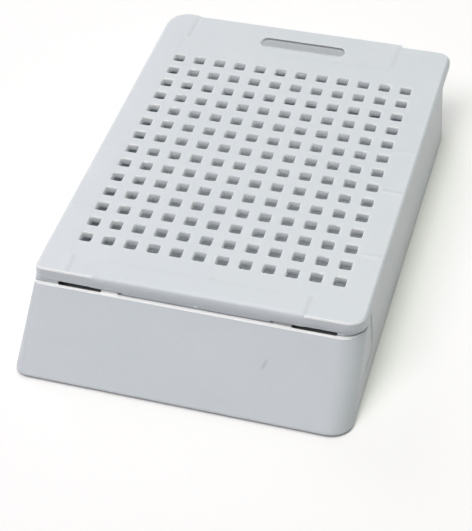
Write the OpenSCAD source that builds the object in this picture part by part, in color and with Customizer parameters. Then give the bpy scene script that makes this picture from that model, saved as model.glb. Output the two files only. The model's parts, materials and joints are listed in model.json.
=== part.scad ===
// Tissue cassette: a sample tray with a perforated floor and a sloping writing
// face, closed by a perforated lid that hinges on the top edge of that face and
// snaps over a catch on the rear wall. +X runs across the cassette, +Y from the
// writing face to the latch, and the cassette stands on Z = 0.

/* [Lid] */
// Width of the lid, flush with the top of the tray
lid_w = 28.1; // [24:0.1:34]
// Length of the lid, from its hinge edge to its finger lip
lid_len = 38.05; // [30:0.05:46]
// Thickness of the lid's solid rim
lid_t = 1.1; // [0.9:0.05:1.4]
// Radius of the lid's corner at the left end of its hinge edge, in plan
lid_r_left = 0.4; // [0.4:0.1:2.5]
// Radius of the lid's corner at the right end of its hinge edge, in plan
lid_r_right = 1.6; // [0.8:0.1:2.5]
// Radius of the lid's two latch-end corners, in plan
lid_r_rear = 1.8; // [0.8:0.1:2.5]
// Rounding of the lid's top edge
lid_edge = 0.35; // [0.1:0.05:0.35]
// Height of the ring under the lid that drops inside the tray
plug_h = 0.9; // [0.5:0.05:1.4]
// Wall thickness of that ring
plug_t = 0.8; // [0.5:0.05:0.9]
// Clearance between the ring and the tray's walls
plug_gap = 0.1; // [0.05:0.01:0.2]

/* [Perforations] */
// Side of each square hole
hole = 1.0; // [0.6:0.05:1.2]
// Distance from hole to hole, both ways
pitch = 2.0; // [1.6:0.05:3]
// Thickness of the lid's perforated panel
panel_t = 0.6; // [0.4:0.05:0.8]
// Thin margin of that panel around the outermost holes
panel_margin = 0.45; // [0.2:0.05:0.5]
// Corner radius of that panel
panel_r = 0.5; // [0.2:0.1:1]
// Solid strip between the lid's side and the first column of holes
side_strip = 2.55; // [2.5:0.05:4]
// Solid strip between the lid's hinge edge and the first row of holes
front_strip = 4.2; // [3.4:0.1:6]
// Solid strip between the last row of holes and the finger lip
rear_strip = 6.85; // [5.4:0.05:9]

/* [Tray] */
// Overall height of the tray with its lid
total_h = 6.8; // [5.6:0.1:12]
// How far the foot of the writing face stands out in front of its top edge
face_run = 5.65; // [4.8:0.05:8]
// Width of the ledge between the top of the writing face and the lid
ledge = 0.35; // [0.2:0.05:0.4]
// How far the lid reaches past the top of the rear wall
lip = 2.65; // [1.8:0.05:3.5]
// Distance from the lid's hinge edge to the sample compartment
front_shelf = 1.8; // [1.5:0.1:2.2]
// Slope of each side wall: how much further out its foot is
side_draft = 0.3; // [0.1:0.05:0.6]
// Slope of the rear wall: how much further forward its foot is
rear_draft = 0.5; // [0.1:0.05:0.7]
// Radius of the front left corner at its top, in plan
tray_r_left = 0.5; // [0.4:0.1:3]
// Radius of the front left corner at its foot, in plan
foot_r_left = 1.4; // [0.8:0.1:3]
// Radius of the front right corner, in plan
tray_r_right = 2.0; // [1.2:0.1:3]
// Radius of the two rear corners, in plan
tray_r_rear = 2.3; // [1.2:0.1:3]
// Thickness of the side and rear walls at their top edge
wall = 1.1; // [0.9:0.05:1.4]
// Thickness of the writing face, square to its surface
face_t = 1.1; // [0.9:0.05:1.4]
// Thickness of the wall between the compartment and the hollow behind the writing face
front_wall = 1.0; // [0.8:0.05:1.2]
// Radius of the compartment's upright corners
cavity_r = 1.0; // [0.5:0.1:1.4]
// Thickness of the perforated floor
floor_t = 0.7; // [0.5:0.05:1.2]
// Height of the floor's underside above the foot of the walls
floor_lift = 0.6; // [0.3:0.05:1]
// Rounding of the tray's foot
foot_edge = 0.25; // [0.1:0.05:0.4]
// Bevel of the tray's top edge
rim_edge = 0.06; // [0.03:0.01:0.12]
// Bevel between the writing face and the ledge above it
ledge_bevel = 0.07; // [0.03:0.01:0.1]

/* [Hinge] */
// Distance from the middle of the cassette to the inner end of each hinge land
land_x = 6.65; // [5:0.05:7.5]
// Width of each hinge land
land_w = 1.45; // [1:0.05:1.8]
// Width of the open slot outside each hinge land
vent_w = 3.8; // [2.5:0.1:4]
// Thickness of the lip in front of that slot, which opens into the hollow below it
vent_lip = 0.3; // [0.25:0.05:0.5]
// How far the ledge, the slots and the middle notch lie below the tray's top
notch_d = 0.25; // [0.15:0.01:0.4]
// Radius of the bead on each land that the lid turns on
bead_r = 0.18; // [0.15:0.01:0.22]
// Running clearance around the bead
bead_gap = 0.03; // [0.02:0.01:0.08]
// Clearance under the lid's middle key
key_gap_z = 0.1; // [0.02:0.01:0.12]
// Clearance at each end of the lid's middle key
key_gap_x = 0.35; // [0.1:0.05:0.6]
// Depth of the lid's middle key from front to back
key_d = 1.0; // [0.6:0.1:1.2]

/* [Latch] */
// Length of the slot over the latch
slot_len = 8.2; // [6:0.1:10]
// Width of the slot over the latch
slot_w = 1.4; // [1:0.05:1.6]
// Width of the latch tongue
tongue_w = 8.0; // [6:0.1:10]
// Thickness of the latch tongue
tongue_t = 0.9; // [0.6:0.05:1.1]
// How far the tongue hangs below the lid
tongue_drop = 3.3; // [2.8:0.1:3.5]
// Gap between the tongue and the top of the rear wall
tongue_gap = 0.45; // [0.35:0.05:0.6]
// How far the tongue's barb reaches under the catch
bite = 0.15; // [0.05:0.01:0.2]
// Height of the square shoulder of the barb and of the catch
shoulder_h = 0.25; // [0.2:0.05:0.4]
// Height of the barb's sloping foot
barb_slope = 0.7; // [0.5:0.05:0.9]
// Height of the catch's sloping top
catch_slope = 0.4; // [0.3:0.05:0.6]
// Free play between the barb and the catch
latch_gap = 0.05; // [0.03:0.01:0.1]

/* [Side grooves] */
// Width of the upright groove in each side, behind the writing face
groove_w = 0.45; // [0.2:0.05:0.8]
// Depth of that groove at the top of the wall
groove_d = 0.2; // [0.1:0.05:0.3]
// Distance from the lid's hinge edge to that groove
groove_y = 2.7; // [2:0.1:4]
// Height of the groove's lower end above the foot of the wall
groove_foot = 0.8; // [0.5:0.1:2]

/* [Hidden] */

$fn = 64;
section_fn = 32;
eps = 0.01;
clear = 5;
plastic = [0.87, 0.89, 0.90];

// Heights
seam_z = total_h - lid_t;
notch_z = seam_z - notch_d;
bevel_z = notch_z - ledge_bevel;
floor_z = floor_lift + floor_t;

// Stations along the cassette
total_len = face_run + ledge + lid_len;
foot_front = -total_len / 2;
rim_front = foot_front + face_run;
lid_front = rim_front + ledge;
lid_rear = total_len / 2;
rim_rear = lid_rear - lip;
foot_rear = rim_rear - rear_draft;
cavity_front = lid_front + front_shelf;
cavity_rear = rim_rear - wall;
hollow_rear = cavity_front - front_wall;
vent_front = rim_front + vent_lip;

// Widths
cavity_w = lid_w - 2 * wall;
foot_w = lid_w + 2 * side_draft;
vent_x = land_x + land_w;

// Hole grid, shared by the lid and the floor
web = pitch - hole;
field_w = lid_w - 2 * side_strip;
field_len = lid_len - front_strip - rear_strip;
cols = floor((field_w + web) / pitch + eps);
rows = floor((field_len + web) / pitch + eps);
grid_y = lid_front + front_strip + field_len / 2;

// Latch
tongue_y = rim_rear + tongue_gap;
tongue_foot = seam_z - tongue_drop;
barb_z = tongue_foot + barb_slope + shoulder_h;
catch_z = barb_z + latch_gap;
catch_y = rim_rear + bite;
slot_y = tongue_y - slot_w / 2;

// Flat outline from y0 to y1, with a round corner at each end of its front and two at its rear
module outline(w, y0, y1, r_left, r_right, r_rear) {
    half = (y1 - y0) / 2;
    r_most = max(r_left, r_right);
    translate([-w / 2, y0 + r_most]) square([w, y1 - y0 - r_most - r_rear]);
    translate([-w / 2 + r_left, y0]) square([w - r_left - r_right, half]);
    translate([-w / 2 + r_rear, y1 - half]) square([w - 2 * r_rear, half]);
    for (corner = [[-1, r_left], [1, r_right]]) {
        side = corner[0];
        r = corner[1];
        translate([side * (w / 2 - r), y0 + r]) circle(r);
        translate([side * (w / 2 - r_rear), y1 - r_rear]) circle(r_rear);
        // Strip beside the smaller of the two front corners
        if (r < r_most) translate([(side < 0) ? -w / 2 : 0, y0 + r]) square([w / 2, r_most]);
    }
}

// The four round corners of such an outline at height z, for a hull to join
module section(z, w, y0, y1, r_left, r_right, r_rear) {
    for (corner = [[-1, r_left], [1, r_right]]) {
        side = corner[0];
        r = corner[1];
        translate([side * (w / 2 - r), y0 + r, z]) cylinder(h = eps, r = r, $fn = section_fn);
        translate([side * (w / 2 - r_rear), y1 - r_rear, z])
            cylinder(h = eps, r = r_rear, $fn = section_fn);
    }
}

// Profile of [y, z] points drawn out across the middle of the cassette
module across(w, points) {
    translate([-w / 2, 0, 0]) rotate([90, 0, 90]) linear_extrude(w) polygon(points);
}

// Round bar along the hinge axis on the land of one side
module hinge_bar(side, r, end_gap) {
    len = land_w + 2 * end_gap;
    translate([side * (land_x + land_w / 2) - len / 2, lid_front, seam_z])
        rotate([0, 90, 0]) cylinder(h = len, r = r);
}

// Square holes of the whole grid, from z0 to z1
module hole_grid(z0, z1) {
    for (i = [0 : cols - 1], j = [0 : rows - 1])
        translate([
            (i - (cols - 1) / 2) * pitch - hole / 2,
            grid_y + (j - (rows - 1) / 2) * pitch - hole / 2,
            z0
        ]) cube([hole, hole, z1 - z0]);
}

// Outer form of the tray up to the ledge: sloping front, drafted sides and rear, bevelled foot
module tray_body() {
    // Each level has its height, its share of the way up the slopes, and how far its
    // sides and its front are drawn in from them
    levels = [
        [0, 0, foot_edge, foot_edge], [foot_edge, 0, 0, 0],
        [bevel_z, 1, 0, 0], [notch_z - eps, 1, 0, ledge_bevel]
    ];
    hull() for (level = levels) {
        up = level[1];
        side_in = level[2];
        front_in = level[3];
        section(level[0], foot_w - 2 * (side_draft * up + side_in),
            foot_front + face_run * up + front_in, foot_rear + rear_draft * up - side_in,
            foot_r_left + (tray_r_left - foot_r_left) * up, tray_r_right, tray_r_rear);
    }
}

// Upright rim above the ledge, flush with the lid, with its top edge bevelled
module tray_rim() {
    // Each level has its height and how far it is drawn in
    levels = [[notch_z - eps, 0], [seam_z - rim_edge, 0], [seam_z - eps, rim_edge]];
    hull() for (level = levels) {
        inset = level[1];
        section(level[0], lid_w - 2 * inset, lid_front + inset, rim_rear - inset,
            tray_r_left, tray_r_right, tray_r_rear);
    }
}

// Hollow behind the writing face, open at the foot
module face_hollow() {
    lean = face_run / (bevel_z - foot_edge);
    skin = face_t * sqrt(1 + lean * lean);
    front = foot_front + skin;
    across(cavity_w, [
        [front - lean * clear, -clear], [hollow_rear, -clear],
        [hollow_rear, (hollow_rear - front) / lean]
    ]);
}

// Prism with the compartment's outline, from z0 to z1
module compartment(z0, z1) {
    translate([0, 0, z0]) linear_extrude(z1 - z0)
        outline(cavity_w, cavity_front, cavity_rear, cavity_r, cavity_r, cavity_r);
}

// Cut through the top of the front wall, from x0 to x1
module rim_notch(x0, x1) {
    translate([x0, rim_front - clear, notch_z])
        cube([x1 - x0, cavity_front - rim_front + 2 * clear, clear]);
}

// Slot outside one hinge land, from the tray's top down into the hollow
module vent(side) {
    x0 = side * (vent_x + vent_w / 2) - vent_w / 2;
    rim_notch(x0, x0 + vent_w);
    translate([x0, vent_front, 0]) cube([vent_w, hollow_rear - vent_front, total_h]);
}

module tray() {
    color(plastic) {
        difference() {
            union() {
                tray_body();
                tray_rim();
            }
            compartment(floor_z, total_h);
            compartment(-clear, floor_lift);
            hole_grid(0, total_h);
            face_hollow();
            rim_notch(-land_x, land_x);
            for (side = [-1, 1]) vent(side);
            // Upright groove in each side
            for (side = [0, 1]) mirror([side, 0, 0])
                translate([lid_w / 2 - groove_d, lid_front + groove_y - groove_w / 2, groove_foot])
                    cube([clear, groove_w, total_h]);
        }
        for (side = [-1, 1]) hinge_bar(side, bead_r, 0);
        // Catch on the rear wall
        across(tongue_w, [
            [rim_rear - wall / 2, catch_z], [catch_y, catch_z], [catch_y, catch_z + shoulder_h],
            [rim_rear - rear_draft, catch_z + shoulder_h + catch_slope],
            [rim_rear - wall / 2, catch_z + shoulder_h + catch_slope]
        ]);
    }
}

// Quarter disc in the corner between +X and +Y
module quarter_disc(r) {
    intersection() {
        circle(r);
        square(r);
    }
}

// Quarter-round strip that faces +X and +Z and runs along Y from y0 to y1
module edge_strip(r, x, y0, y1) {
    translate([x, y1, 0]) rotate([90, 0, 0]) linear_extrude(y1 - y0) quarter_disc(r);
}

// Solid plate of the lid, with its top edge rounded
module lid_plate() {
    e = lid_edge;
    half_w = lid_w / 2;
    round_z = lid_t - e;
    translate([0, 0, seam_z]) {
        linear_extrude(round_z)
            outline(lid_w, lid_front, lid_rear, lid_r_left, lid_r_right, lid_r_rear);
        linear_extrude(lid_t)
            outline(lid_w - 2 * e, lid_front + e, lid_rear - e,
                lid_r_left - e, lid_r_right - e, lid_r_rear - e);
    }
    translate([0, 0, seam_z + round_z]) {
        for (side = [0, 1]) mirror([side, 0, 0]) {
            r = (side == 0) ? lid_r_right : lid_r_left;
            edge_strip(e, half_w - e, lid_front + r, lid_rear - lid_r_rear);
            translate([half_w - r, lid_front + r, 0])
                rotate_extrude() translate([r - e, 0]) quarter_disc(e);
            translate([half_w - lid_r_rear, lid_rear - lid_r_rear, 0])
                rotate_extrude() translate([lid_r_rear - e, 0]) quarter_disc(e);
        }
        rotate([0, 0, 90]) edge_strip(e, lid_rear - e, lid_r_rear - half_w, half_w - lid_r_rear);
        rotate([0, 0, -90])
            edge_strip(e, -lid_front - e, lid_r_left - half_w, half_w - lid_r_right);
    }
}

// Ring that drops inside the tray's walls
module lid_plug() {
    g = plug_gap;
    t = plug_gap + plug_t;
    translate([0, 0, seam_z - plug_h]) linear_extrude(plug_h + eps) difference() {
        outline(cavity_w - 2 * g, cavity_front + g, cavity_rear - g,
            cavity_r - g, cavity_r - g, cavity_r - g);
        outline(cavity_w - 2 * t, cavity_front + t, cavity_rear - t, panel_r, panel_r, panel_r);
    }
}

// Latch tongue with its inward barb
module lid_latch() {
    across(tongue_w, [
        [tongue_y, seam_z + eps], [tongue_y, barb_z], [rim_rear, barb_z],
        [rim_rear, barb_z - shoulder_h], [tongue_y, tongue_foot],
        [tongue_y + tongue_t, tongue_foot], [tongue_y + tongue_t, seam_z + eps]
    ]);
}

// Key that fills the tray's middle notch
module lid_key() {
    translate([-land_x + key_gap_x, lid_front, notch_z + key_gap_z])
        cube([2 * (land_x - key_gap_x), key_d, notch_d]);
}

// Thinner panel inside the rim, and the slot over the latch
module lid_recesses() {
    margin = panel_margin;
    translate([0, 0, seam_z - eps]) {
        linear_extrude(lid_t - panel_t + eps)
            outline(field_w + 2 * margin, grid_y - field_len / 2 - margin,
                grid_y + field_len / 2 + margin, panel_r, panel_r, panel_r);
        linear_extrude(total_h) {
            translate([-(slot_len - slot_w) / 2, slot_y - slot_w / 2])
                square([slot_len - slot_w, slot_w]);
            for (side = [-1, 1])
                translate([side * (slot_len - slot_w) / 2, slot_y]) circle(slot_w / 2);
        }
    }
}

module lid() {
    color(plastic) difference() {
        union() {
            lid_plate();
            lid_plug();
            lid_latch();
            lid_key();
        }
        lid_recesses();
        hole_grid(floor_z, 2 * total_h);
        for (side = [-1, 1]) hinge_bar(side, bead_r + bead_gap, bead_gap);
    }
}

tray();
lid();
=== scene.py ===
import json
import math
from collections import namedtuple
from functools import partial, reduce

import bpy
from mathutils import Matrix, Vector
from mathutils.geometry import delaunay_2d_cdt


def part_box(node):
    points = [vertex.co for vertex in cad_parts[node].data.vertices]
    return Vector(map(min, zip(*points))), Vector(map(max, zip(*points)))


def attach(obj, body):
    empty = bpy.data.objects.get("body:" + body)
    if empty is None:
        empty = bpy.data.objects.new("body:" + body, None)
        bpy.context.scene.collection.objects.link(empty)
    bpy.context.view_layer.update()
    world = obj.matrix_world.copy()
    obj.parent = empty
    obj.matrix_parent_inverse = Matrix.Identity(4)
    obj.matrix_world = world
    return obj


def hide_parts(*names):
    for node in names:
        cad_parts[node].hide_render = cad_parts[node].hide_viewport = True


MM = 0.001
QUARTER = math.pi / 2

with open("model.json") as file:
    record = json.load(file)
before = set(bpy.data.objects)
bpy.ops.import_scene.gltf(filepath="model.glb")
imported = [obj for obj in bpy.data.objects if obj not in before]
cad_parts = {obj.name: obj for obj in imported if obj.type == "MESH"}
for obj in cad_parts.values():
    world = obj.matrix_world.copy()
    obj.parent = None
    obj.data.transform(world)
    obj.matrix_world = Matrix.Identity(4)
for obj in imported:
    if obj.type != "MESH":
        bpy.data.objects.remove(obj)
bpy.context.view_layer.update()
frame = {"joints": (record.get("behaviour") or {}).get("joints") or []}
scene = bpy.context.scene


# ---------------------------------------------------------------- mesh tools (in millimetres)

def round_loop(corners, radii, segs, stops=None):
    """Counter-clockwise outline with round corners: its points and their outward normals.

    stops[k] lists the x or y values at which the side after corner k gets points of its own.
    """
    c = [Vector(p) for p in corners]
    m = len(c)
    normal = []
    for k in range(m):
        d = (c[(k + 1) % m] - c[k]).normalized()
        normal.append(Vector((d.y, -d.x)))
    pts, nos = [], []
    for k in range(m):
        n0, n1 = normal[k - 1], normal[k]
        turn = math.atan2(n0.x * n1.y - n0.y * n1.x, n0.dot(n1))
        bulge = math.copysign(radii[k], turn)
        centre = c[k] - (n0 + n1) * (bulge / (1 + n0.dot(n1)))
        start = math.atan2(n0.y, n0.x)
        for i in range(segs + 1):
            a = start + turn * i / segs
            n = Vector((math.cos(a), math.sin(a)))
            pts.append(centre + n * bulge)
            nos.append(n)
        a, b = c[k], c[(k + 1) % m]
        axis = 0 if abs(b.x - a.x) > abs(b.y - a.y) else 1
        for v in (stops or {}).get(k, ()):
            pts.append(a.lerp(b, (v - a[axis]) / (b[axis] - a[axis])))
            nos.append(n1.copy())
    return pts, nos


def box_loop(x, y0, y1, r0, r1, segs):
    """A box from -x to x and from y0 to y1, with front corners r0 and rear corners r1."""
    return round_loop([(-x, y0), (x, y0), (x, y1), (-x, y1)], [r0, r0, r1, r1], segs)


def facing_in(base):
    """The same outline as the wall of an opening, whose normals point into the opening."""
    return base[0], [-n for n in base[1]]


class Shell:
    """A mesh made of rings and caps, with an exact normal at every point."""

    def __init__(self):
        self.co, self.no, self.faces = [], [], []

    def point(self, co, no):
        self.co.append(Vector(co))
        self.no.append(Vector(no).normalized())
        return len(self.co) - 1

    def ring(self, base, depth, z, tilt):
        """base's points moved depth into the material, at height z, with normals tilted up."""
        n = len(base[0])
        each = [v if isinstance(v, list) else [v] * n for v in (depth, z, tilt)]
        return [self.point((p.x - q.x * d, p.y - q.y * d, h),
                           (q.x * math.cos(t), q.y * math.cos(t), math.sin(t)))
                for p, q, d, h, t in zip(*base, *each)]

    def rounding(self, base, r, z, up=1, bulge=1, segs=3):
        """Rings that turn from base's wall into a face at height z that looks up or down (-1).

        bulge is 1 for an outer edge and -1 for an inner corner. z may differ from point to point.
        """
        zs = z if isinstance(z, list) else [z] * len(base[0])
        rings = []
        for i in range(segs + 1):
            t = QUARTER * i / segs
            rings.append(self.ring(base, bulge * r * (1 - math.cos(t)),
                                   [h - bulge * up * r * (1 - math.sin(t)) for h in zs], up * t))
        return rings

    def skin(self, rings):
        """Faces between each ring and the next."""
        for a, b in zip(rings, rings[1:]):
            for i in range(len(a)):
                j = (i + 1) % len(a)
                self.faces.append((a[i], a[j], b[j], b[i]))

    def cap(self, outer, inner=(), axes=(0, 1)):
        """Fills the flat area between the ring outer and the rings inner."""
        loops = [outer, *inner]
        ids = [i for loop in loops for i in loop]
        owner = [k for k, loop in enumerate(loops) for _ in loop]
        flat = [Vector((self.co[i][axes[0]], self.co[i][axes[1]])) for i in ids]
        edges, first = [], 0
        for loop in loops:
            edges += [(first + i, first + (i + 1) % len(loop)) for i in range(len(loop))]
            first += len(loop)
        _, _, tris, source, _, _ = delaunay_2d_cdt(flat, edges, [], 1, 1e-7)
        for tri in tris:
            t = [source[v][0] for v in tri]
            owners = {owner[v] for v in t}
            if len(owners) > 1 or 0 in owners:      # the others fill an inner ring
                self.faces.append(tuple(ids[v] for v in t))

    def prism(self, outline, x0, x1, r, segs=2):
        """A bar from x0 to x1 with rounded ends. Its section is outline, made of (y, z) points."""
        pts, nos = outline
        rings = []
        for end, x in ((-1, x0), (1, x1)):
            turns = range(segs, -1, -1) if end < 0 else range(segs + 1)
            for i in turns:
                t = QUARTER * i / segs
                d, h = r * (1 - math.cos(t)), x - end * r * (1 - math.sin(t))
                rings.append([self.point((h, p.x - q.x * d, p.y - q.y * d),
                                         (end * math.sin(t), q.x * math.cos(t), q.y * math.cos(t)))
                              for p, q in zip(pts, nos)])
        self.skin(rings)
        self.cap(rings[0], axes=(1, 2))
        self.cap(rings[-1], axes=(1, 2))

    def has_area(self, face):
        p = [self.co[i] for i in face]
        return (p[2] - p[0]).cross(p[-1] - p[1] if len(p) == 4 else p[1] - p[0]).length >= 1e-9

    def mesh(self, name):
        """The mesh in metres, with each face turned the way its points' normals look."""
        faces = [f for f in self.faces if self.has_area(f)]
        points = [p * MM for p in self.co]
        mesh = bpy.data.meshes.new(name)
        mesh.from_pydata(points, [], faces)
        for poly in mesh.polygons:
            if poly.normal.dot(sum((self.no[i] for i in poly.vertices), Vector())) < 0:
                faces[poly.index] = tuple(reversed(faces[poly.index]))
        mesh.clear_geometry()
        mesh.from_pydata(points, [], faces)
        mesh.shade_smooth()
        mesh.normals_split_custom_set_from_vertices([tuple(n) for n in self.no])
        return mesh


def add_piece(shell, name, node):
    piece = bpy.data.objects.new(name, shell.mesh(name))
    scene.collection.objects.link(piece)
    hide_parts(node)
    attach(piece, node)
    return piece


# ---------------------------------------------------------------- sizes (in millimetres)

lid_box = [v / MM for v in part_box("lid")]
tray_box = [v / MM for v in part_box("tray")]
hinge = Vector(frame["joints"][0]["pos_m"]) / MM

# The lid's half width, front, rear and top, and the height at which it meets the tray
lid_x, lid_y0, lid_y1, lid_top = lid_box[1].x, hinge.y, lid_box[1].y, lid_box[1].z
seam = hinge.z
lid_corners = [0.75, 1.6, 1.4, 2.0]     # front left, front right, rear right, rear left
panel_under = lid_top - 0.7
# The radius and lean of its top edge, and what the front and its crisp ends add to them
edge_r, front_r, crisp_r = 0.35, 0.23, -0.43
edge_lean, front_lean, crisp_lean = 0.03, 0.09, 0.10
# Where its front edge turns crisp near each end, and where its rear edge is set in and how far
crisp_left, crisp_right = (-8.8, -9.2), (8.95, 9.35)
crisp_inset = 0.05
inset_left, inset_right = (-11.45, -10.7), (9.12, 9.4)
inset_middle, inset_end = 0.2, 0.35
# The middle key: its half width, its gap over the ledge, and the depth of it and of the rim
key_x, key_z, key_deep, rim_deep = 6.3, 0.1, 1.0, 0.3

# The tray, from its foot to its rim. The ledge runs along the top of the writing face.
foot_corners, rim_corners = (1.4, 2.0, 2.3), (0.5, 2.0, 2.3)    # front left, front right, rear
foot_x, foot_y0 = tray_box[1].x - 0.02, tray_box[0].y
foot_ahead = 0.11                       # the foot's front edge is this far before the wall's line
ledge_y = lid_y0 - 0.28
rim_y1 = lid_y1 - 2.65
foot_y1 = rim_y1 - 0.5
foot_r = 0.25
foot_z, ledge_z = 0.25, seam - 0.25
face_z = ledge_z - 0.07
wall = 1.1
cavity = (lid_x - wall, lid_y0 + 1.8, rim_y1 - wall)    # half width, front and rear
cavity_r = 1.0
hollow_y1 = lid_y0 + 0.8
floor_under, floor_top = 0.6, 1.3
groove_y, groove_z, groove_half, groove_deep = lid_y0 + 2.7, 2.7, 0.225, 0.2
land = (6.65, 8.10)                     # hinge lands, on both sides of the middle
vent = (8.10, 11.90)                    # slots down into the hollow
strap_half, strap_r = 0.72, 0.09

# The grid of holes, and the flat area that it takes up
pitch, half_hole, hole_r = 2.0, 0.5, 0.14
lid_edges, floor_edges = (0.11, 0.04), (0.05, 0.04)     # edge radii of the holes, top and under
grid_y = lid_y0 + 17.7
columns = [(i - 5.5) * pitch for i in range(12)]
rows = [grid_y + (j - 6.5) * pitch for j in range(14)]
grid_half = (11.95, 13.95)

# The slot near the lid's rear edge, and the tongue and catch that hold the lid shut
slot_x, slot_y, slot_r = 4.1, (rim_y1 - 1.04, rim_y1 + 0.45), 0.699
latch_x = 4
tip = seam - 3.3

STEP = 0.015                            # half the width of a step's side, seen from above


def smooth(a, b, v):
    """0 at a and before it, 1 at b and beyond it, with a smooth turn at both."""
    t = min(1.0, max(0.0, (v - a) / (b - a)))
    return t * t * (3 - 2 * t)


def around(values):
    """Four stations at each value, close together, where the shape has a step."""
    return [v + k * STEP for v in values for k in (-2, -1, 1, 2)]


def holes(shell, top, under, top_r, under_r):
    """The grid of square holes: returns the rings on the upper face and those on the lower one."""
    upper, lower = [], []
    for x in columns:
        for y in rows:
            h = half_hole
            corners = [(x - h, y - h), (x + h, y - h), (x + h, y + h), (x - h, y + h)]
            base = facing_in(round_loop(corners, [hole_r] * 4, 3))
            a = shell.rounding(base, top_r, top, up=1, segs=3)
            b = shell.rounding(base, under_r, under, up=-1, segs=2)
            shell.skin([*reversed(b), *a])
            upper.append(a[-1])
            lower.append(b[-1])
    return upper, lower


# ---------------------------------------------------------------- the lid

def lid_side(s, base, under, r, lean, low):
    """Rings up the lid's side, from the ring under, and over its round edge: returns the last.

    The side is upright at its foot and leans in by the angle lean at its top.
    """
    rings = [under]
    start = [l + 0.05 for l in low]
    end = [lid_top - a * (1 - math.sin(t)) for a, t in zip(r, lean)]
    rise = [z - l - 0.05 for z, l in zip(end, low)]
    for f in (1 / 3, 2 / 3, 1):
        rings.append(s.ring(base, [t * h * f * f / 2 for t, h in zip(lean, rise)],
                            [z + h * f for z, h in zip(start, rise)], [t * f for t in lean]))
    segs = 6
    for k in range(1, segs + 1):
        arc = [t + (QUARTER - t) * k / segs for t in lean]
        depth = [t * h / 2 + a * (math.cos(t) - math.cos(c))
                 for t, h, a, c in zip(lean, rise, r, arc)]
        height = [z + a * (math.sin(c) - math.sin(t)) for z, t, a, c in zip(end, lean, r, arc)]
        rings.append(s.ring(base, depth, height, arc))
    s.skin(rings)
    return rings[-1]


def lid_outline():
    """The lid's outline, and at each of its points: edge radius, lean, underside and its depth."""
    # The x values at which the front and rear edges get points of their own
    fronts = sorted([-11, -10, -9.2, -9.1, -9.0, -8.9, -8.8, -3, 0, 3,
                     8.95, 9.05, 9.15, 9.25, 9.35, 10, 11] + around([-key_x, key_x]))
    rears = [11.6, 10.5, 9.4, 9.33, 9.26, 9.19, 9.12, 5, 0, -5,
             -10.7, -10.85, -11.0, -11.15, -11.3, -11.45, -11.6]
    base = round_loop([(-lid_x, lid_y0), (lid_x, lid_y0), (lid_x, lid_y1), (-lid_x, lid_y1)],
                      lid_corners, 12, {0: fronts, 2: rears})
    r, lean, low, deep, points = [], [], [], [], []
    for p, n in zip(*base):
        ahead, behind = max(0.0, -n.y), max(0.0, n.y)
        crisp = ahead * max(smooth(*crisp_left, p.x), smooth(*crisp_right, p.x))
        r.append(edge_r + front_r * ahead + crisp_r * crisp)
        lean.append(edge_lean + front_lean * ahead + crisp_lean * crisp)
        inset = inset_middle * smooth(*inset_left, p.x) + inset_end * smooth(*inset_right, p.x)
        points.append(p - n * (crisp_inset * crisp + behind * inset))
        on_front = ahead > 0.99
        low.append(ledge_z + key_z if on_front and abs(p.x) < key_x else seam)
        deep.append(key_deep if on_front and abs(p.x) < key_x + 1.5 * STEP else rim_deep)
    return (points, base[1]), r, lean, low, deep


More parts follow.
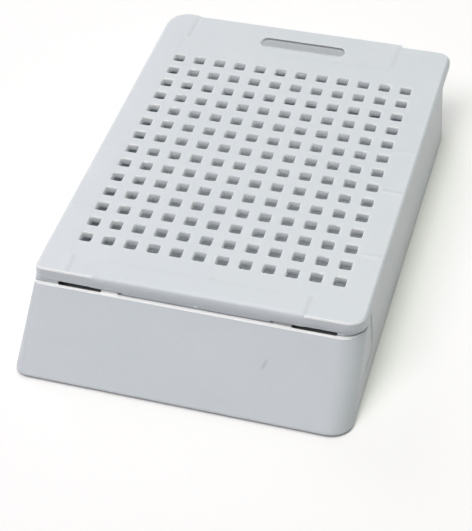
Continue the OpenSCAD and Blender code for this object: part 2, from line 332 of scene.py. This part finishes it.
def build_lid():
    s = Shell()
    base, r, lean, low, deep = lid_outline()
    under = s.rounding(base, 0.05, low, up=-1, segs=2)
    key_foot = s.ring(base, deep, low, -QUARTER)
    s.skin([*under, key_foot])
    top = lid_side(s, base, under[0], r, lean, low)
    back = [[s.point((s.co[i].x, s.co[i].y, z), (-n.x, -n.y, 0))
             for i, n, z in zip(key_foot, base[1], zs)] for zs in (low, [seam] * len(low))]
    s.skin(back)
    under_edge = [s.point(s.co[i], (0, 0, -1)) for i in back[1]]

    # The panel's holes and the slot near its rear edge
    upper, lower = holes(s, lid_top, panel_under, *lid_edges)
    slot = facing_in(box_loop(slot_x, *slot_y, slot_r, slot_r, 10))
    slot_top = s.rounding(slot, 0.12, lid_top, up=1, segs=4)
    slot_low = s.rounding(slot, 0.03, seam, up=-1, segs=2)
    s.skin([*reversed(slot_low), *slot_top])
    s.cap(top, [*upper, slot_top[-1]])

    # The ring that drops inside the tray's walls, and the recess in it under the panel
    def in_cavity(gap, r):
        return box_loop(cavity[0] - gap, cavity[1] + gap, cavity[2] - gap, r, r, 6)

    plug_out, plug_in, plug_z = in_cavity(0.1, 0.9), facing_in(in_cavity(0.9, 0.5)), seam - 0.9
    recess = facing_in(box_loop(grid_half[0], grid_y - grid_half[1], grid_y + grid_half[1],
                                0.5, 0.5, 6))
    out_root = s.rounding(plug_out, 0.08, seam, up=-1, bulge=-1, segs=2)
    out_foot = s.rounding(plug_out, 0.15, plug_z, up=-1, segs=3)
    s.skin([*reversed(out_root), *out_foot])
    in_foot = s.rounding(plug_in, 0.15, plug_z, up=-1, segs=3)
    in_root = s.rounding(plug_in, 0.04, seam, up=-1, bulge=-1, segs=2)
    s.skin([*reversed(in_foot), *in_root])
    recess_rim = s.rounding(recess, 0.04, seam, up=-1, segs=1)
    recess_roof = s.rounding(recess, 0.1, panel_under, up=-1, bulge=-1, segs=2)
    s.skin([*reversed(recess_rim), *recess_roof])
    s.cap(under_edge, [out_root[-1], slot_low[-1]])
    s.cap(out_foot[-1], [in_foot[-1]])
    s.cap(in_root[-1], [recess_rim[-1]])
    s.cap(recess_roof[-1], lower)

    # The latch tongue with its barb. Its root is widened into a floor for the slot.
    root, front, tongue_z = rim_y1 + 0.05, rim_y1 + 0.47, seam + 0.88
    pocket, rear, barb = root - 0.7, front + 0.88, tip + 0.95
    corners = [((pocket, tongue_z), 0.08), ((pocket, seam + 0.04), 0.08),
               ((root, seam + 0.04), 0.08), ((root, seam - 0.4), 0.1),
               ((front, seam - 0.8), 0.1), ((front, barb), 0.1),
               ((rim_y1, barb), 0.08), ((rim_y1, tip + 0.7), 0.08),
               ((front, tip), 0.15), ((rear, tip), 0.25), ((rear, tongue_z), 0.08)]
    s.prism(round_loop(*zip(*corners), 3), -latch_x, latch_x, 0.07, 3)
    return s


# ---------------------------------------------------------------- the tray

def build_tray():
    s = Shell()
    edges = [-vent[1], -vent[0], -land[0], land[0], vent[0], vent[1]]
    groove_sides = (groove_y - groove_half, groove_y + groove_half)
    fronts = sorted([-10, -4, 0, 4, 10] + around(edges))
    sides = around(groove_sides) + [-8, 0, 8, 14]
    straight = cavity[1] + cavity_r
    inner_sides = [max(y, straight + 0.01 * (k + 1)) for k, y in enumerate(sides)]
    stops = {0: fronts, 1: sides, 3: sides[::-1]}

    def outline(x, y0, y1, radii, at=stops):
        return round_loop([(-x, y0), (x, y0), (x, y1), (-x, y1)], [*radii, radii[-1]], 12, at)

    foot = outline(foot_x, foot_y0 - foot_ahead, foot_y1, foot_corners)
    top = outline(lid_x, ledge_y, rim_y1, rim_corners)
    rim = outline(lid_x, lid_y0, rim_y1, rim_corners)
    inner = outline(*cavity, [cavity_r] * 3, {0: fronts, 1: inner_sides, 3: inner_sides[::-1]})
    n = len(foot[0])
    height = face_z - foot_z

    # What each point of the outline belongs to. cheek is the normal of a step's side.
    def is_low(x):
        return abs(x) < land[0] or vent[0] < abs(x) < vent[1]

    low, in_vent, in_groove, cheek, ahead, lean = [], [], [], [None] * n, [], []
    for i, (p, q) in enumerate(zip(*foot)):
        front, side = q.y < -0.999 and abs(p.x) < 12, abs(q.x) > 0.999
        low.append(front and is_low(p.x))
        in_vent.append(front and vent[0] < abs(p.x) < vent[1])
        in_groove.append(side and abs(p.y - groove_y) < groove_half)
        for x in edges if front else ():
            if abs(abs(p.x - x) - STEP) < 1e-6:
                cheek[i] = Vector((1 if is_low(x + 0.1) else -1, 0, 0))
        for y in groove_sides if side else ():
            if abs(abs(p.y - y) - STEP) < 1e-6:
                cheek[i] = Vector((0, 1 if y < groove_y else -1, 0))
        ahead.append(max(0.0, -q.y))
        lean.append(math.atan2((p - top[0][i]).dot(q), height))

    def ring(place, zs, tilts, cut=True):
        """A ring at the points place(i, z), which follows the side grooves where cut is true."""
        made = []
        for i in range(n):
            z = zs[i] if isinstance(zs, list) else zs
            t = tilts[i] if isinstance(tilts, list) else tilts
            p, q = place(i, z), foot[1][i]
            normal = Vector((q.x * math.cos(t), q.y * math.cos(t), math.sin(t)))
            if cut and in_groove[i]:
                p = Vector((math.copysign(lid_x - groove_deep, p.x), p.y))
            if cut and cheek[i] is not None and abs(q.x) > 0.999:
                normal = cheek[i]
            made.append(s.point((p.x, p.y, z), normal))
        return made

    def on_wall(i, z):
        return foot[0][i].lerp(top[0][i], (z - foot_z) / height)

    # Rounded foot: the arc meets the ground and the sloping wall
    rings, segs = [], 5
    for k in range(segs + 1):
        made = []
        for i in range(n):
            q, f = foot[1][i], lean[i]
            t = -QUARTER + (QUARTER + f) * k / segs
            depth = foot_r * (1 + math.sin(f)) / math.cos(f) - foot_r * math.cos(t)
            p = on_wall(i, 0.0) - q * depth
            made.append(s.point((p.x, p.y, foot_r + foot_r * math.sin(t)),
                                (q.x * math.cos(t), q.y * math.cos(t), math.sin(t))))
        rings.append(made)
    foot_ring = rings[0]
    rings.append(ring(on_wall, groove_z - 0.1, lean, cut=False))
    rings.append(ring(on_wall, groove_z, lean))
    rings.append(ring(on_wall, face_z, lean))

    # Ledge over the writing face: a round edge, then a flat strip up to the rim
    for across, rise, turn in ((0.06, 0.5, 0.4), (0.15, 0.88, 0.75), (0.30, 1.0, 1.0)):
        rings.append(ring(lambda i, _: top[0][i].lerp(rim[0][i], across),
                          face_z + (ledge_z - face_z) * rise,
                          [f + (QUARTER - f) * turn * (a > 0.02) for f, a in zip(lean, ahead)]))

    def on_ledge(i, _):
        return rim[0][i] - Vector((0, 0.08)) if in_vent[i] else rim[0][i]

    rings.append(ring(on_ledge, ledge_z, [QUARTER * (a > 0.02) for a in ahead]))
    s.skin(rings)

    # Rim: it stands up at the hinge lands, at the ends and all round the sides and the rear
    top_z = [ledge_z if a else seam for a in low]
    upright = [QUARTER * a for a in low]
    fine = 0.03

    def on_rim(i, _):
        return on_ledge(i, 0) if low[i] or in_groove[i] else rim[0][i] - foot[1][i] * fine

    rings = [ring(on_ledge, ledge_z, upright),
             ring(on_ledge, [z if a else z - fine for a, z in zip(low, top_z)], upright),
             ring(on_rim, top_z, QUARTER)]
    edge = rings[-1]
    s.skin(rings)
    base_in = facing_in(inner)
    mouth = s.rounding(base_in, 0.1, top_z, up=1, segs=3)
    to_floor = s.rounding(base_in, 0.15, floor_top, up=1, bulge=-1, segs=3)
    for made in (edge, *mouth[1:]):
        for i in range(n):
            if cheek[i] is not None and abs(foot[1][i].x) < 0.5:
                s.no[made[i]] = cheek[i]
    s.skin([*reversed(mouth), *to_floor])
    for i in range(n):
        j = (i + 1) % n
        if not (in_vent[i] and in_vent[j]):
            s.faces.append((edge[i], edge[j], mouth[-1][j], mouth[-1][i]))

    # Perforated floor, and the recess under it
    upper, lower = holes(s, floor_top, floor_under, *floor_edges)
    s.cap(to_floor[-1], upper)
    recess = facing_in(box_loop(*cavity, cavity_r, cavity_r, 6))
    up_wall = s.rounding(recess, 0.1, floor_under, up=-1, bulge=-1, segs=2)
    foot_edge = s.rounding(recess, 0.12, 0.0, up=-1, segs=3)
    s.skin([*reversed(foot_edge), *up_wall])
    s.cap(up_wall[-1], lower)

    # Hollow behind the writing face, under a sloping roof, and the two slots that open into it
    slope = (ledge_y - foot_y0) / height
    hollow_y0 = foot_y0 + wall * math.sqrt(1 + slope * slope)
    roof_no = Vector((0, 1, -slope))

    def roof(y):
        return max(0.1, (y - hollow_y0) / slope)

    opening = facing_in(box_loop(cavity[0], hollow_y0 + 0.1 * slope, hollow_y1, 0.4, 0.4, 4))
    lip = s.rounding(opening, 0.1, 0.0, up=-1, segs=2)
    peak = s.ring(opening, 0, [roof(p.y) for p in opening[0]], 0)
    s.skin([lip[0], peak])
    s.cap(foot_ring, [foot_edge[-1], lip[-1]])
    under_vents = []
    for side in (-1, 1):
        x0, x1 = sorted(side * v for v in (vent[0] + 0.04, vent[1] - 0.04))
        y0, y1 = lid_y0 - 0.05, hollow_y1
        loop = facing_in(round_loop([(x0, y0), (x1, y0), (x1, y1), (x0, y1)], [0.1] * 4, 3))
        vent_rim = s.rounding(loop, 0.025, ledge_z, up=1, segs=2)
        vent_foot = s.ring(loop, 0, [roof(p.y) for p in loop[0]], 0)
        s.skin([vent_foot, *vent_rim])
        span = [i for i in range(n) if in_vent[i] and side * foot[0][i].x > 0]
        s.cap([edge[i] for i in span] + [mouth[-1][i] for i in reversed(span)], [vent_rim[-1]])
        under_vents.append([s.point(s.co[i], roof_no) for i in vent_foot])
    s.cap([s.point(s.co[i], roof_no) for i in peak], under_vents)

    add_catch_and_straps(s)
    return s


def add_catch_and_straps(s):
    """The catch on the rear wall, and the strap of plastic on each hinge land."""
    root, front, low = rim_y1 - 0.6, rim_y1 + 0.15, tip + 1.0
    catch = round_loop([(root, low), (front, low), (front, low + 0.25),
                        (rim_y1 - 0.5, low + 0.65), (root, low + 0.65)], [0.06] * 5, 3)
    s.prism(catch, -latch_x, latch_x, 0.05)
    a = strap_r
    y, z = hinge.y, hinge.z
    corners = [(y, z - a), (y + 2 * a, z - a), (y + 2 * a, z + a), (y, z + a)]
    strap = round_loop(corners, [a * 0.999] * 4, 5)
    for side in (-1, 1):
        x = side * (land[0] + land[1]) / 2
        s.prism(strap, x - strap_half, x + strap_half, 0.03)


# ---------------------------------------------------------------- plastic (lengths in millimetres)

# The two close colours that the plastic drifts between, and its roughness
COOL, WARM = (0.655, 0.698, 0.728, 1), (0.668, 0.702, 0.730, 1)
ROUGHNESS = 0.37
# How far light spreads inside the plastic, and what the webs, the slot and fine edges add to it
REACH, WEB_REACH, SLOT_REACH, EDGE_REACH = 0.3, 2.1, -0.3, -0.27

Split = namedtuple("Split", "x y z")


class Graph:
    """Short names for the shader nodes that the plastic is made of."""

    def __init__(self, tree):
        self.tree = tree

    def put(self, node, inputs):
        for key, value in dict(inputs).items():
            if isinstance(value, bpy.types.NodeSocket):
                self.tree.links.new(value, node.inputs[key])
            else:
                node.inputs[key].default_value = value

    def node(self, kind, inputs=(), out=0, **settings):
        n = self.tree.nodes.new(kind)
        for key, value in settings.items():
            setattr(n, key, value)
        self.put(n, inputs)
        return n.outputs[out]

    def split(self, vector):
        n = self.tree.nodes.new("ShaderNodeSeparateXYZ")
        self.tree.links.new(vector, n.inputs[0])
        return Split(*n.outputs)

    def math(self, operation, a, b=0.0):
        return self.node("ShaderNodeMath", {0: a, 1: b}, operation=operation)

    def less(self, a, b):
        return self.math("SUBTRACT", a, b)

    def size(self, a):
        return self.math("ABSOLUTE", a)

    def add(self, *terms):
        return reduce(partial(self.math, "ADD"), terms)

    def times(self, *factors):
        return reduce(partial(self.math, "MULTIPLY"), factors)

    def scale(self, vector, factor):
        return self.node("ShaderNodeVectorMath", {0: vector, "Scale": factor}, operation="SCALE")

    def ramp(self, value, from_0, from_1, to_0=0.0, to_1=1.0):
        return self.node("ShaderNodeMapRange", {0: value, 1: from_0, 2: from_1, 3: to_0, 4: to_1},
                         interpolation_type="SMOOTHSTEP")

    def ramp_straight(self, value, *ends):
        return self.node("ShaderNodeMapRange", dict(enumerate((value, *ends))), clamp=False)

    def near(self, value, centre, half, soft):
        """1 where value is within half of centre, falling to 0 over the length soft."""
        return self.ramp(self.size(self.less(value, centre)), half, half + soft, 1.0, 0.0)

    def noise(self, place, scale, detail=2.0, rough=0.5):
        """Noise between about -1 and 1."""
        n = self.node("ShaderNodeTexNoise", {"Vector": place, "Scale": scale, "Detail": detail,
                                             "Roughness": rough}, noise_dimensions="3D")
        return self.ramp_straight(n, 0.25, 0.75, -1.0, 1.0)

    def streak(self, across, along, centre, width, start, end):
        """A line with soft sides and ends, from start to end, where across is centre."""
        soft = 0.3
        return self.times(self.near(across, centre, 0.0, width),
                          self.near(along, (start + end) / 2, (end - start) / 2 - soft / 2, soft))

    def streaks(self, table):
        """The sum of the lines in the table, whose rows end with how strong the line is."""
        return self.add(*[self.times(self.streak(*row[:-1]), row[-1]) for row in table])


def plastic(name, details):
    """Matt moulded plastic, with the piece's own marks and its painted light and shade from
    details.

    details returns lists of terms for the bump's height, the tone and the roughness, and a mask of
    the fine edges under which light hardly spreads.
    """
    m = bpy.data.materials.new(name)
    m.use_nodes = True
    g = Graph(m.node_tree)
    place = g.scale(g.node("ShaderNodeTexCoord", out="Object"), 1 / MM)
    at = g.split(place)
    facing = g.split(g.node("ShaderNodeTexCoord", out="Normal"))
    level = g.size(facing.z)

    grain = g.noise(place, 3.2, 3.0, 0.6)
    mottle = g.noise(place, 0.9)
    cloud = g.noise(place, 0.12)
    on_side = g.ramp(g.size(facing.x), 0.7, 0.95)
    side_grain = g.times(g.noise(place, 2.1, 2.0, 0.6), on_side)

    # The thin webs between the holes, the sample compartment and the slot near the rear edge; the
    # tone below paints light and shade in them
    web = g.times(g.ramp(at.y, lid_y0 + 2.9, lid_y0 + 3.0), g.ramp(level, 0.75, 0.45),
                  g.near(at.x, 0.0, 11.7, 0.1))
    middle, half = (cavity[1] + cavity[2]) / 2, (cavity[2] - cavity[1]) / 2
    inside = g.times(g.near(at.y, middle, half + 0.05, 0.05),
                     g.ramp(at.z, lid_top - 0.15, lid_top - 0.3),
                     g.near(at.x, 0.0, cavity[0] + 0.05, 0.05))
    slot = g.times(g.near(at.y, rim_y1 - 0.25, 0.8, 0.1),
                   g.ramp(at.z, lid_top - 0.1, lid_top - 0.14),
                   g.near(at.x, 0.0, slot_x + 0.1, 0.1))

    more_height, more_tone, more_gloss, edge = details(g, at, facing)
    height = [g.times(grain, 0.0012), g.times(mottle, 0.0016), g.times(cloud, 0.008),
              g.times(side_grain, 0.003), *more_height]
    # Painted light lightens the compartment and the hole webs; in the slot, painted light lightens
    # the walls and painted shade darkens the floor
    tone = [g.times(grain, 0.006), g.times(mottle, 0.006), g.times(cloud, 0.006),
            g.times(inside, 0.1), g.times(web, 0.02),
            g.times(slot, g.ramp(level, 0.3, 0.8, 0.2, -0.38)), *more_tone]
    gloss = [g.times(mottle, 0.02), g.times(cloud, 0.02), *more_gloss]
    reach = g.add(REACH, g.times(web, WEB_REACH), g.times(slot, SLOT_REACH),
                  g.times(edge, EDGE_REACH))

    drift = g.ramp_straight(cloud, -1.0, 1.0, 0.0, 1.0)
    colour = g.node("ShaderNodeMix", {0: drift, 6: COOL, 7: WARM}, out=2, data_type="RGBA")
    g.put(m.node_tree.nodes["Principled BSDF"], {
        "Base Color": g.scale(colour, g.add(*tone, 1.0)),
        "Roughness": g.add(*gloss, ROUGHNESS),
        "Normal": g.node("ShaderNodeBump", {"Height": g.add(*height), "Distance": MM}),
        "Subsurface Weight": 1.0,
        "Subsurface Radius": (1.0, 1.0, 1.0),
        "Subsurface Scale": g.times(reach, MM),
    })
    return m


def lid_details(g, at, facing):
    """Lines left by the mould's inserts and ridges across the side strips, with painted shade in
    the lines and painted light on the ridges, painted highlights on the crisp front edges and the
    hole rims, and painted shade and light across the front face.
    """
    x, y, z = at
    y0 = lid_y0
    # Each row: across, along, where across is, the soft sides' width, start, end, strength
    lines = [(x, y, -11.1, 0.36, y0 + 0.1, y0 + 2.3, 1.0),
             (x, y, -11.6, 0.30, y0 + 2.4, y0 + 34.0, 0.22),
             (x, y, -11.15, 0.36, y0 + 34.2, y0 + 37.5, 0.9),
             (x, y, 9.15, 0.32, y0 + 0.1, y0 + 2.5, 1.0),
             (x, y, 9.05, 0.42, y0 + 33.9, y0 + 37.3, 0.7),
             (y, x, y0 + 33.5, 0.40, -2.0, 9.0, 0.25),
             (y, x, y0 + 2.3, 0.40, -9.0, 7.0, 0.2)]
    ridges = [(y, x, y0 + 16.4, 0.34, 11.9, 13.9, 1.0),
              (y, x, y0 + 16.4, 0.34, -13.6, -11.8, 0.6),
              (y, x, y0 + 8.2, 0.34, 11.9, 13.9, 1.0),
              (y, x, y0 + 8.2, 0.34, -13.6, -11.8, 0.7),
              (y, x, y0 + 21.9, 0.34, 11.9, 13.9, 0.6),
              (y, x, y0 + 21.9, 0.34, -13.6, -11.8, 0.3)]
    top = g.ramp(facing.z, 0.3, 0.8)
    groove = g.times(g.streaks(lines), top)
    ridge = g.times(g.streaks(ridges), top)
    pin = g.times(g.near(x, 0.74, 0.16, 0.1), g.near(y, y0 + 2.46, 0.1, 0.1))
    tick = g.times(g.near(x, 0.05, 0.12, 0.1), g.near(z, seam + 0.02, 0.1, 0.08))

    # The front face gets painted shade towards the right and down towards its foot, and painted
    # light low at its left end; its top edge gets a painted highlight where it turns crisp
    front = g.times(g.ramp(facing.y, -0.5, -0.85), g.ramp(z, lid_top - 0.4, seam - 0.1))
    rightwards, left_end = g.ramp(x, -9.0, -3.0), g.ramp(x, -9.0, -9.5)
    ends = g.add(g.ramp(x, *crisp_left), g.ramp(x, *crisp_right))
    edge = g.times(g.near(z, lid_top - 0.08, 0.07, 0.04), g.ramp(facing.y, -0.15, -0.4), ends)

    # A painted highlight on the near and right edges of each hole
    lit = g.ramp(g.less(facing.y, facing.x), 0.2, 0.5)
    on_grid = g.times(g.near(x, 0.0, 11.8, 0.05), g.near(y, grid_y, 13.8, 0.05))
    mouth = g.times(g.near(z, lid_top - 0.05, 0.05, 0.02), lit, on_grid)

    # Painted shade darkens the lines and painted light lightens the ridges, on top of their bumps
    height = [g.times(groove, -0.03), g.times(ridge, 0.04), g.times(pin, -0.01)]
    tone = [g.times(groove, -0.08), g.times(ridge, 0.03), g.times(pin, -0.03), g.times(tick, 0.25),
            g.times(mouth, 0.25), g.times(edge, 0.4), g.times(front, rightwards, -0.13),
            g.times(front, 0.06, left_end)]
    gloss = [g.times(groove, 0.05), g.times(edge, -0.15)]
    return height, tone, gloss, g.add(edge, g.times(mouth, 0.8))


def tray_details(g, at, facing):
    """A matt writing face with a small scuff, a pale spot low on the right side, and a painted
    highlight on the ledge.
    """
    x, y, z = at
    face = g.times(g.ramp(facing.y, -0.45, -0.6), g.ramp(facing.z, 0.5, 0.65))
    fine = g.times(g.noise(g.node("ShaderNodeCombineXYZ", {0: x, 1: y, 2: z}), 6.0), face)
    scuff_z = 3.3
    slant = g.less(x, g.times(g.less(z, scuff_z), 0.5))
    scuff = g.times(g.near(slant, 6.52, 0.05, 0.2), g.near(z, scuff_z, 0.12, 0.25), face)
    pale_spot = g.times(g.near(y, lid_y0 - 0.9, 0.12, 0.15), g.near(z, 0.35, 0.12, 0.15),
                   g.ramp(facing.x, 0.4, 0.6))
    # Painted highlight on the ledge under the lid's front edge
    ledge = g.times(g.near(y, lid_y0 - 0.15, 0.14, 0.03), g.near(z, ledge_z - 0.03, 0.05, 0.03),
                    g.ramp(facing.z, 0.5, 0.7))

    # Painted shade, over a shallow bump, along the groove on the right side: it runs down, then
    # turns forward above the foot
    turn_z, turn_r = 1.9, 1.0
    dy, dz = g.less(y, groove_y - turn_r), g.less(z, turn_z + turn_r)
    away = g.math("SQRT", g.add(g.times(dy, dy), g.times(dz, dz)))
    behind, before = g.ramp(dy, -0.02, 0.02), g.ramp(dy, 0.02, -0.02)
    above, below = g.ramp(dz, -0.02, 0.02), g.ramp(dz, 0.02, -0.02)
    down = g.times(g.near(y, groove_y, 0.12, 0.3), above)
    turn = g.times(behind, below, g.near(away, turn_r, 0.08, 0.25))
    along = g.times(before, g.ramp(dy, -2.6, -1.2), g.near(z, turn_z, 0.08, 0.25))
    track = g.times(g.add(down, turn, along), g.ramp(facing.x, 0.7, 0.9))

    # Painted light on the left strap, and painted shade on the upright face under the lid, painted
    # shadow at the foot and painted shade in the slots
    strap = g.times(g.near(y, lid_y0 - 0.02, 0.2, 0.05), g.ramp(z, seam - 0.3, seam - 0.2),
                    g.near(x, -7.4, strap_half, 0.03))
    upstand = g.times(g.ramp(facing.y, -0.6, -0.9), g.ramp(z, ledge_z, ledge_z + 0.05),
                      g.less(1.0, strap))
    foot = g.ramp(z, 0.32, 0.12)
    vents = g.add(g.near(x, -10.0, 1.88, 0.04), g.near(x, 10.0, 1.88, 0.04))
    hollow = g.times(g.near(y, lid_y0 + 0.38, 0.4, 0.04), g.ramp(z, seam + 0.1, seam - 0.1), vents)

    height = [g.times(scuff, -0.01), g.times(fine, 0.0008), g.times(track, -0.05)]
    tone = [g.times(scuff, -0.15), g.times(pale_spot, 0.25), g.times(ledge, 0.42), g.times(track, -0.25),
            g.times(hollow, -0.6), g.times(fine, 0.006), g.times(upstand, -0.12),
            g.times(foot, -0.62), g.times(strap, 0.45)]
    gloss = [g.times(face, 0.10), g.times(scuff, 0.1), g.times(ledge, -0.2)]
    return height, tone, gloss, g.add(ledge, g.times(foot, 0.8), g.times(strap, 0.8))


lid = add_piece(build_lid(), "lid_shell", "lid")
tray = add_piece(build_tray(), "tray_shell", "tray")
lid.data.materials.append(plastic("lid_plastic", lid_details))
tray.data.materials.append(plastic("tray_plastic", tray_details))


# ---------------------------------------------------------------- camera, floor and light

# The camera's direction and roll in degrees, its lens, its distance and the point it looks at
CAMERA_AZIMUTH, CAMERA_ELEVATION, CAMERA_ROLL = 18.007, 43.828, -2.608
CAMERA_LENS, CAMERA_DISTANCE, CAMERA_AIM = 106.125, 133.851, (1.154, -8.247, 3.4)
FLOOR_HALF = 3.0
LIGHT_DISTANCE = 0.6
# Each light: name, azimuth, elevation, size, power, colour
LIGHTS = [("overhead", 0, 88, 0.4, 1.677, (0.970, 1.0, 0.880)),
          ("front_left", 315, 58, 0.4, 1.656, (0.960, 0.904, 1.0)),
          ("rear", 180, 58, 0.4, 0.942, (0.975, 1.0, 0.892)),
          ("rear_left", 225, 58, 0.4, 0.258, (0.651, 0.535, 1.0)),
          ("rim", 215, 30, 0.17, 0.369, (1.0, 0.894, 1.0))]


def direction(azimuth, elevation):
    a, e = math.radians(azimuth), math.radians(elevation)
    return Vector((math.sin(a) * math.cos(e), -math.cos(a) * math.cos(e), math.sin(e)))


def add_camera():
    back = direction(CAMERA_AZIMUTH, CAMERA_ELEVATION)
    right = Vector((-back.y, back.x, 0)).normalized()
    up = back.cross(right)
    roll = math.radians(CAMERA_ROLL)
    x = right * math.cos(roll) + up * math.sin(roll)
    data = bpy.data.cameras.new("camera")
    data.lens = CAMERA_LENS
    data.clip_start, data.clip_end = 0.005, 10
    cam = bpy.data.objects.new("camera", data)
    aim = Vector([v * MM for v in CAMERA_AIM])
    cam.matrix_world = (Matrix.Translation(aim + back * CAMERA_DISTANCE * MM)
                        @ Matrix((x, back.cross(x), back)).transposed().to_4x4())
    scene.collection.objects.link(cam)
    scene.camera = cam


def add_floor():
    """A pale matt floor that glows slightly, which softens the shadow on it."""
    mesh = bpy.data.meshes.new("floor")
    s = FLOOR_HALF
    mesh.from_pydata([(-s, -s, 0), (s, -s, 0), (s, s, 0), (-s, s, 0)], [], [(0, 1, 2, 3)])
    floor = bpy.data.objects.new("floor", mesh)
    scene.collection.objects.link(floor)
    m = bpy.data.materials.new("floor")
    m.use_nodes = True
    Graph(m.node_tree).put(m.node_tree.nodes["Principled BSDF"], {
        "Base Color": (0.86, 0.86, 0.86, 1), "Roughness": 0.9, "Specular IOR Level": 0.0,
        "Emission Color": (1, 1, 1, 1), "Emission Strength": 0.09})
    mesh.materials.append(m)


def add_light(name, azimuth, elevation, size, power, colour):
    data = bpy.data.lights.new(name, "AREA")
    data.shape = "DISK"
    data.size = size
    data.energy = power
    data.color = colour
    light = bpy.data.objects.new(name, data)
    back = direction(azimuth, elevation)
    light.location = back * LIGHT_DISTANCE
    light.rotation_mode = "QUATERNION"
    light.rotation_quaternion = back.to_track_quat("Z", "Y")
    scene.collection.objects.link(light)


def add_dark_world():
    """All the light comes from the lamps and the floor."""
    scene.world = bpy.data.worlds.new("studio")
    scene.world.use_nodes = True
    background = scene.world.node_tree.nodes["Background"]
    background.inputs["Color"].default_value = (1, 1, 1, 1)
    background.inputs["Strength"].default_value = 0.0


scene.view_settings.view_transform = "Standard"
add_camera()
add_floor()
add_dark_world()
for row in LIGHTS:
    add_light(*row)
